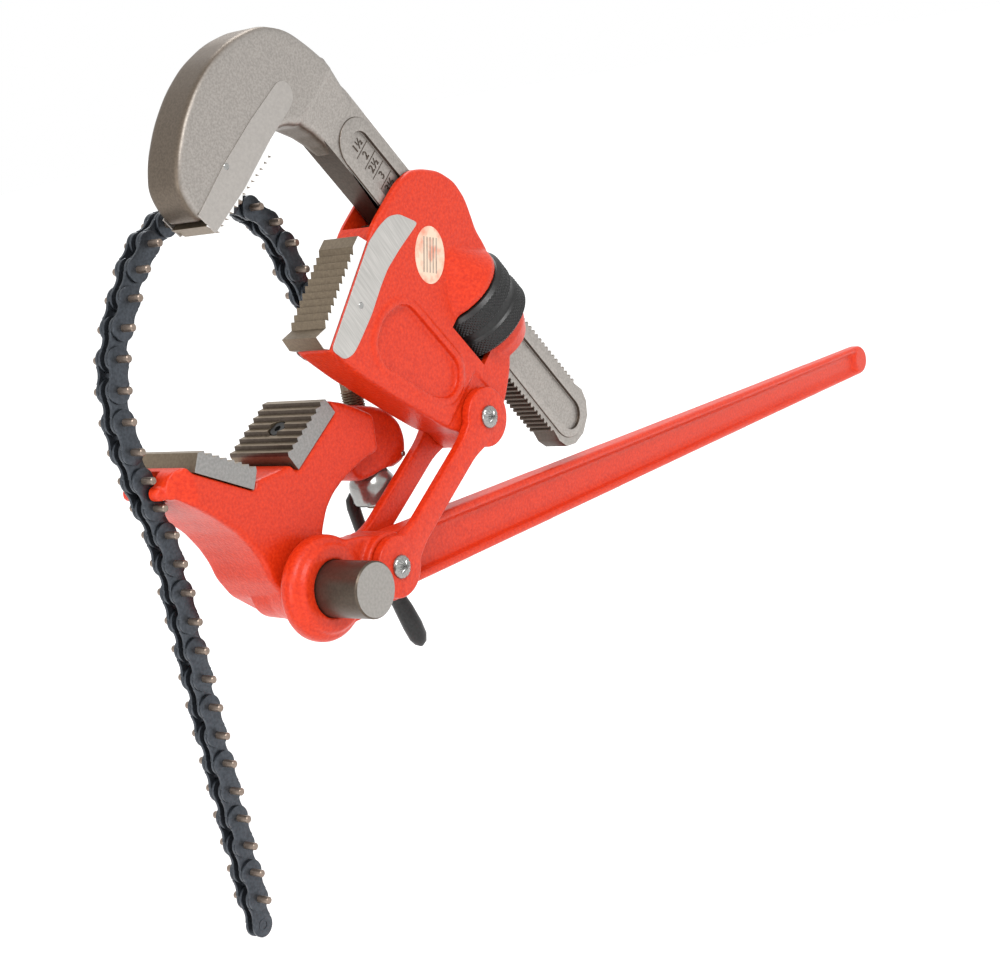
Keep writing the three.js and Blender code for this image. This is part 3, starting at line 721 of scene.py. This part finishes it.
def i_section(x, height, flange, thick, web):
    """A ring of points round an I-shaped section at a distance along the handle."""
    inner = height - thick
    quarter = [
        (height, flange - 3), (height - 1.5, flange - 0.8), (height - 4, flange), (inner + 2, flange),
        (inner + 0.5, flange - 1.5), (inner - 2, web + 1.5), (inner - 5, web),
    ]
    lower = [(-y, w) for y, w in quarter[::-1]]
    front = quarter + lower
    back = [(y, -w) for y, w in front[::-1]]
    return [(x, y, w) for y, w in front + back]


def build_handle():
    eye = lathe([
        (25, -14.4), (36, -14.4), (38, -13), (38.8, -10.5), (43.5, -8.5), (46, -5), (46.5, 0), (46, 5),
        (43.5, 8.5), (38.8, 10.5), (38, 13), (36, 14.4), (25, 14.4),
    ], 96)
    neck = filleted([(22, 36), (50, 33), (72, 27), (72, -27), (50, -33), (22, -38)], 6)
    beam = closed_mesh([
        i_section(58, 27, 13.5, 9, 5), i_section(150, 26, 13, 8.5, 4), i_section(690, 19.5, 10.5, 7, 3.5),
        i_section(HANDLE_LENGTH - 17, 17, 8.5, 6, 3.5),
    ])
    body = union(
        eye,
        minus(prism(neck, -12, 12, 3), rod(0, 0, 27, -30, 30)),
        rod(RIVET_REACH, 0, 31, -20.2, 20.2, 1.5),
        beam,
        rod(HANDLE_LENGTH - 17, 0, 17, -8.5, 8.5, 3),
    )
    body = minus(cast(body, 1.5, 5), rod(RIVET_REACH, 0, RIVET_R + 0.4, -30, 30))
    present(body, "handle_casting", HANDLE, PAINT, "handle_arm", ["handle"])


def link_outline():
    flare = math.degrees(math.asin((LINK_HALF + 4) / LINK_EYE_R))
    return filleted([
        *arc(0, 0, LINK_EYE_R, 360 - flare, flare, 28),
        (40, LINK_HALF), (LINK_LENGTH - 40, LINK_HALF),
        *arc(LINK_LENGTH, 0, LINK_EYE_R, 180 - flare, -180 + flare, 28),
        (LINK_LENGTH - 40, -LINK_HALF), (40, -LINK_HALF),
    ], 14, 3)


def build_links():
    for name, w0, w1 in (("front", 20.5, 30.5), ("back", -30.5, -20.5)):
        shape = minus(
            prism(link_outline(), w0, w1, 2.2, 4),
            rod(0, 0, RIVET_R + 0.4, w0 - 5, w1 + 5),
            rod(LINK_LENGTH, 0, RIVET_R + 0.4, w0 - 5, w1 + 5),
        )
        present(shape, f"{name}_link_bar", LINKS, PAINT, "link_pair", [f"{name}_link"])
    for name, x in (("lower", 0), ("upper", LINK_LENGTH)):
        half = [(8, 30.8), (10.6, 30.8), (10.6, 32), (9.8, 33.4), (8, 34.7), (5, 35.7), (2, 36), (0, 36)]
        back = [(r, -w) for r, w in half[::-1]]
        rivet = lathe(back + half, PEEN_MARKS * 8)
        for vert in rivet.verts:
            reach = math.hypot(vert.co.x, vert.co.y)
            if abs(vert.co.z) > 33 and reach > 1:
                wave = math.cos(PEEN_MARKS * math.atan2(vert.co.y, vert.co.x))
                vert.co.z *= 1 + 0.014 * wave * min(1, (10 - reach) / 3)
        moved(rivet, Matrix.Translation((x, 0, 0)))
        present(rivet, f"{name}_rivet_pin", LINKS, BRIGHT, "link_pair", [f"{name}_rivet"])


# ---- wrench head -------------------------------------------------------------------------------------

SHANK_MID = 92
SHANK_HALF_W = 13.3
HEAD_HALF_W = 20.5
HOUSING_HALF_W = 22
RACK_PITCH = 6.35
PAD_RISE = 1.6  # of the flats on the shank's sides
SLOT_DEPTH = 3.2


def about_shank(profile, sides=96):
    """A turned piece about the shank's own axis, from [radius, u] points."""
    return moved(lathe(profile, sides), Matrix.Translation((0, SHANK_MID, 0)) @ ALONG)


def housing():
    outline = [
        (-193, -75), (-174, -72), (-147, -67), (-100, -55), (-58, -44), (-30, -36), (-14, -28), (0, -29),
        (14, -25), (24, -16), (29, 0), (27, 14), (22, 28), (19, 41), (12, 59), (5, 72), (-7, 84),
        (-22, 88), (-24, 129), (-71, 130), (-89, 136), (-104, 138), (-118, 145), (-134, 152),
        (-154, 154), (-175, 147), (-192, 134), (-204, 121), (-211, 100), (-213, 50), (-210.5, 32),
    ]
    panel = filleted([
        (-158, -7), (-152, -35), (-135, -44), (-66, -27), (-46, -14), (-42, 4), (-54, 21), (-143, 21),
    ], 14)
    half = HOUSING_HALF_W
    body = union(
        prism(filleted(outline, 7), -half, half, 4),
        prism(inset(panel, -7), -half - 1.4, half + 1.4, 1.4),
        about_shank([
            (0, -140), (14, -140), (22, -124), (31, -109), (39, -95), (44, -86), (44, -80), (0, -80),
        ]),
        about_shank([(0, -24.5), (37, -24.5), (36, -14), (30, 0), (0, 12)]),
    )
    clearance = [block(-32, 60, -60, 29.5, *sorted((side * 20.2, side * 60))) for side in (-1, 1)]
    body = minus(
        body,
        *clearance,
        prism(panel, half - 4, 60),
        prism(panel, -60, -half + 4),
    )
    body = cast(body, 1.2, 6)
    return minus(
        body,
        block(-230, 60, 47, 129.5, -16, 16),
        block(-80, -24.5, 42, 180, -60, 60),
        rod(0, 0, RIVET_R + 0.4, -40, 40),
        prism([(-240, -90), (-240, 32), (-210.5, 32), (-193, -75), (-190, -90)], -60, 60),
    )


def teeth(start, end, count, depth):
    """Saw teeth from one end of a jaw face to the other, their points on the line between the ends."""
    (x0, y0), (x1, y1) = start, end
    points = []
    for i in range(count):
        points.append((x0 + (x1 - x0) * i / count, y0 + (y1 - y0) * i / count))
        t = (i + 0.75) / count
        points.append((x0 + (x1 - x0) * t + depth, y0 + (y1 - y0) * t))
    return points


def strip_outline():
    return filleted([
        (-192, -74), (-209.8, 32), (-208, 51), (-204, 66), (-195, 77), (-171, 88), (-176, 53), (-178, 28),
        (-176, 10), (-171, -17), (-169, -46), (-169, -60), (-175, -71),
    ], 5, 3)


def ellipse(x, y, long, short, turn, steps=48):
    spin = turned(turn)
    angles = [2 * math.pi * i / steps for i in range(steps)]
    points = [spin @ Vector((long * math.cos(a), short * math.sin(a), 0)) for a in angles]
    return [(x + p.x, y + p.y) for p in points]


LABEL_MIDDLE = (-142, 75)
LABEL_TURN = math.radians(125.5)
LABEL_LINES = 5
LINE_SPACING = 4.2


def build_label():
    """A plain oval label with lines in place of its printing."""
    face = HOUSING_HALF_W
    label = ellipse(*LABEL_MIDDLE, 26, 20, LABEL_TURN)
    present(prism(label, face - 0.5, face + 0.25), "oval_label", HEAD, LABEL, "head")
    spin = Matrix.Translation((*LABEL_MIDDLE, 0)) @ turned(LABEL_TURN)
    for i in range(LABEL_LINES):
        foot = i * LINE_SPACING - 9.4
        line = block(-16, 16, foot, foot + 1.6, face, face + 0.33)
        present(moved(line, spin), f"label_line_{i + 1}", HEAD, INK, "head")


def build_housing():
    present(housing(), "housing_casting", HEAD, PAINT, "head", ["housing"])
    face = HOUSING_HALF_W
    for side, name in ((1, "front"), (-1, "back")):
        low, high = sorted((side * (face - 0.4), side * (face + 0.35)))
        present(prism(strip_outline(), low, high), f"{name}_ground_strip", HEAD, BRUSHED, "head",
                bevel_mm=0.15)
    build_label()
    heel = [
        (-193.4, -74.4), (-210.9, 31.6), (-222, 28), *teeth((-221.5, 16), (-211, -64), 11, 4),
        (-212, -76), (-199, -78),
    ]
    insert = side_faces(prism(heel, -HEAD_HALF_W, HEAD_HALF_W), 15, GROUND_STEEL, INSERT_STEEL)
    present(insert, "heel_jaw_teeth", HEAD, INSERT_STEEL, "head",
            ["heel_jaw_insert"], 0.35)
    present(rod(-186, -20, 3, -23, 23, 0.6), "heel_pin", HEAD, BRIGHT, "head",
            ["heel_jaw_pin"])


def rack(v, depth, start, end):
    """The toothed edge of the shank: a crest and a root in every pitch."""
    tooth = ((0, v), (0.32, v), (0.5, v - depth), (0.82, v - depth))
    points = []
    for i in range(int((end - start) / RACK_PITCH)):
        points += [(start + (i + share) * RACK_PITCH, height) for share, height in tooth]
    return points


def shank():
    low, high = 60, 124
    outline = [
        (-345, 120), (-345, 80), (-297, 72), (-270, 72), (-190, 72), (-182, low),
        *rack(low, -2.6, -160, 112), (118, low), (131, 63), (141, 74), (145.5, 90), (141, 108),
        (131, 119), (118, high),
        *rack(high, 2.6, -160, 112)[::-1], (-182, high), (-190, 126), (-300, 126),
    ]
    body = prism(outline, -SHANK_HALF_W, SHANK_HALF_W)
    half = SHANK_HALF_W + PAD_RISE
    body = union(body, prism(pad_outline(), -half, half, 0.8, 2))
    for side in (-1, 1):
        low_w, high_w = sorted((side * (half - SLOT_DEPTH), side * (half + 5)))
        body = minus(body, prism(upper_slot(), low_w, high_w), prism(lower_slot(), low_w, high_w))
    return body


def pad_outline():
    """The raised flat on each side of the shank, round at both ends."""
    return [*arc(-262, 98, 24, 90, 270, 20), *arc(112, 92, 26, -90, 90, 20)]


def upper_slot():
    return [*arc(-260, 99, 12.5, 90, 270, 16), (-190, 84), (-190, 112)]


def lower_slot():
    return [*arc(-60, 91.5, 15, 90, 270, 8), *arc(116, 91.5, 15, -90, 90, 16)]


def hook_head():
    outline = [
        (-362, -82.5), (-381, -82), (-398, -76), (-412, -58), (-424, -30), (-430.5, 0), (-431, 30),
        (-424, 62), (-409, 93), (-385, 113), (-358, 121), (-338, 125), (-324, 126), (-324, 59),
        (-338, 48), (-347, 31), (-354, 22),
    ]
    neck = closed_mesh([
        neck_section(-340, 50, 20.5), neck_section(-324, 59.5, 18.8), neck_section(-307, 66.5, 16),
        neck_section(-291, 70.5, 14), neck_section(-278, 72, 13.2),
    ])
    body = union(prism(filleted(outline, 12), -HEAD_HALF_W, HEAD_HALF_W, 6.5, 5), neck)
    return cast(body, 1.2, 8)


def neck_section(u, v, half_width):
    """A round-cornered section of the neck between the hook and the shank."""
    top = 126
    corners = [(v, half_width), (v, -half_width), (top, -half_width), (top, half_width)]
    return [(u, y, w) for y, w in filleted(corners, 7, 3)]


def band_outline():
    """The ground face beside the hook's insert, round at its upper end."""
    return [
        (-371, -81), (-349, -80), (-346, -30), (-347.5, 20), (-346, 59), *arc(-358, 63, 11.5, 0, 180, 12),
        (-373, 20), (-374, -30),
    ]


SCALE_MARKS = ("1½", "2", "2½", "3", "3½")
SCALE_START = -261  # u of the first figure
FIGURE_SIZE = 11


def scale_text(words, u, v, w):
    """Raised figures whose foot runs across the shank."""
    curve = bpy.data.curves.new("figures", "FONT")
    curve.body = words
    curve.size = FIGURE_SIZE
    curve.extrude = 0.35
    curve.align_x = "CENTER"
    curve.align_y = "CENTER"
    obj = bpy.data.objects.new("figures", curve)
    bpy.context.scene.collection.objects.link(obj)
    graph = bpy.context.evaluated_depsgraph_get()
    mesh = bpy.data.meshes.new_from_object(obj.evaluated_get(graph))
    bpy.data.objects.remove(obj)
    flat = bpy.data.objects.new("figures", mesh)
    bpy.context.scene.collection.objects.link(flat)
    mesh.transform(Matrix.Translation((u, v, w)) @ turned(math.pi / 2))
    return flat


def build_scale():
    floor = SHANK_HALF_W + PAD_RISE - SLOT_DEPTH
    for i, words in enumerate(SCALE_MARKS):
        u = SCALE_START + i * RACK_PITCH * 2
        text = scale_text(words, u, 99, floor + 0.2)
        present(text, f"scale_figure_{i + 1}", HEAD, RACK_STEEL, "hook")
        mark = block(u + 6, u + 6.7, 88, 110, floor - 0.2, floor + 0.25)
        present(mark, f"scale_mark_{i + 1}", HEAD, RACK_STEEL, "hook")


def build_hook():
    jaw = side_faces(shank(), 8, FORGED, RACK_STEEL)
    present(hook_head(), "hook_forging", HEAD, FORGED, "hook", ["hook_jaw"])
    present(jaw, "hook_shank", HEAD, FORGED, "hook", bevel_mm=0.5)
    for side, name in ((1, "front"), (-1, "back")):
        low, high = sorted((side * (HEAD_HALF_W - 0.6), side * (HEAD_HALF_W + 0.8)))
        present(prism(band_outline(), low, high), f"{name}_hook_band", HEAD, BAND, "hook",
                bevel_mm=0.3)
    outline = [(-359.5, -82), *teeth((-345, -76), (-336.5, 20), 13, -4), (-338, 24), (-353.6, 22)]
    half = HEAD_HALF_W + 0.2
    insert = side_faces(prism(outline, -half, half), 15, GROUND_STEEL, INSERT_STEEL)
    present(insert, "hook_jaw_teeth", HEAD, INSERT_STEEL, "hook",
            ["hook_jaw_insert"], 0.35)
    present(rod(-371, -29, 3, -21.8, 21.8, 0.6), "hook_pin", HEAD, BRIGHT, "hook",
            ["hook_jaw_pin"])
    build_scale()


# ---- jaw nut and spring ------------------------------------------------------------------------------

NUT_R = 48
NUT_BORE_R = 35.1
NUT_SPAN = (-78, -26.5)
KNURL_COUNT = 76
KNURL_DEPTH = 1.3


def nut_radius(u):
    """The nut's radius at u, and the knurl's share there: two knurled bands with a groove between."""
    start, end = NUT_SPAN
    middle = (start + end) / 2
    if u < start + 4:
        return NUT_R - 4 + (u - start), 0
    if u > end - 5:
        return NUT_R - 1.1 * (u - end + 5), 0
    if abs(u - middle) < 4:
        return NUT_R - 3.2, 0
    if abs(u - middle) < 6.5:
        return NUT_R - 3.2 + (abs(u - middle) - 4) * 1.28, 0
    return NUT_R, 1


def jaw_nut():
    start, end = NUT_SPAN
    sides = KNURL_COUNT * 5
    steps = 84
    rings = []
    for k in range(steps + 1):
        u = start + (end - start) * k / steps
        base, share = nut_radius(u)
        ring = []
        for i in range(sides):
            a = 2 * math.pi * i / sides
            slant = u / NUT_R
            rising, falling = (math.sin(KNURL_COUNT / 2 * (a + lean)) for lean in (slant, -slant))
            ridge = abs(rising) * abs(falling)
            r = base - share * KNURL_DEPTH * (1 - ridge)
            ring.append((u, SHANK_MID + r * math.cos(a), r * math.sin(a)))
        rings.append(ring)
    rings.append([(end, SHANK_MID + NUT_BORE_R * math.cos(2 * math.pi * i / sides),
                   NUT_BORE_R * math.sin(2 * math.pi * i / sides)) for i in range(sides)])
    rings.append([(start, y, w) for u, y, w in rings[-1]])
    bm = bmesh.new()
    rows = [[bm.verts.new(p) for p in ring] for ring in rings]
    for low, high in zip(rows, rows[1:] + rows[:1]):
        for i in range(sides):
            j = (i + 1) % sides
            bm.faces.new((low[i], low[j], high[j], high[i]))
    bmesh.ops.recalc_face_normals(bm, faces=bm.faces)
    return bm


def build_nut():
    present(jaw_nut(), "knurled_nut", HEAD, BLACK, "nut", ["jaw_nut"], angle=50)
    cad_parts["jaw_spring"].data.materials[0] = INSERT_STEEL


# ---- studio ------------------------------------------------------------------------------------------


def place_light(lamp, place):
    """Puts a lamp in the studio, aimed at the tool's middle."""
    obj = bpy.data.objects.new(lamp.name, lamp)
    obj.location = place
    obj.rotation_euler = (Vector((0.15, -0.05, 0)) - obj.location).to_track_quat("-Z", "Y").to_euler()
    bpy.context.scene.collection.objects.link(obj)


def build_studio():
    camera = bpy.data.cameras.new("camera")
    camera.lens = 70.63
    camera.clip_start = 0.05
    camera.clip_end = 50
    eye = bpy.data.objects.new("camera", camera)
    eye.location = (-1.1237, -1.2268, 0.2958)
    eye.rotation_euler = [math.radians(a) for a in (75.992, 11.474, -52.652)]
    bpy.context.scene.collection.objects.link(eye)
    bpy.context.scene.camera = eye

    floor_shape = bmesh.new()
    bmesh.ops.create_grid(floor_shape, x_segments=1, y_segments=1, size=12)
    floor = as_object(floor_shape, "floor")
    floor.location = (0, 0, -0.46)
    paper = Finish("pale_floor", (0.93,) * 3, 0.8).mottled(3, (0.92,) * 3, (0.94,) * 3)
    floor.data.materials.append(paper.material)

    world = bpy.data.worlds.new("studio")
    world.use_nodes = True
    background = world.node_tree.nodes["Background"]
    background.inputs["Color"].default_value = (1, 1, 1, 1)
    background.inputs["Strength"].default_value = 1.0
    bpy.context.scene.world = world

    sun = bpy.data.lights.new("key", "SUN")
    sun.energy = 1.7
    sun.angle = math.radians(25)
    place_light(sun, (-0.9, -1.5, 1.9))
    side_lamp = ("side", (-2.0, -0.2, 0.5), 1.0, 14)
    rim_lamp = ("rim", (1.2, 0.8, 1.8), 0.8, 18)
    for name, place, size, power in (side_lamp, rim_lamp):
        lamp = bpy.data.lights.new(name, "AREA")
        lamp.size = size
        lamp.energy = power
        place_light(lamp, place)
    bpy.context.scene.view_settings.view_transform = "Standard"


build_vise()
build_chain_screw()
build_chain()
build_handle()
build_links()
build_housing()
build_hook()
build_nut()
build_studio()

record_size()
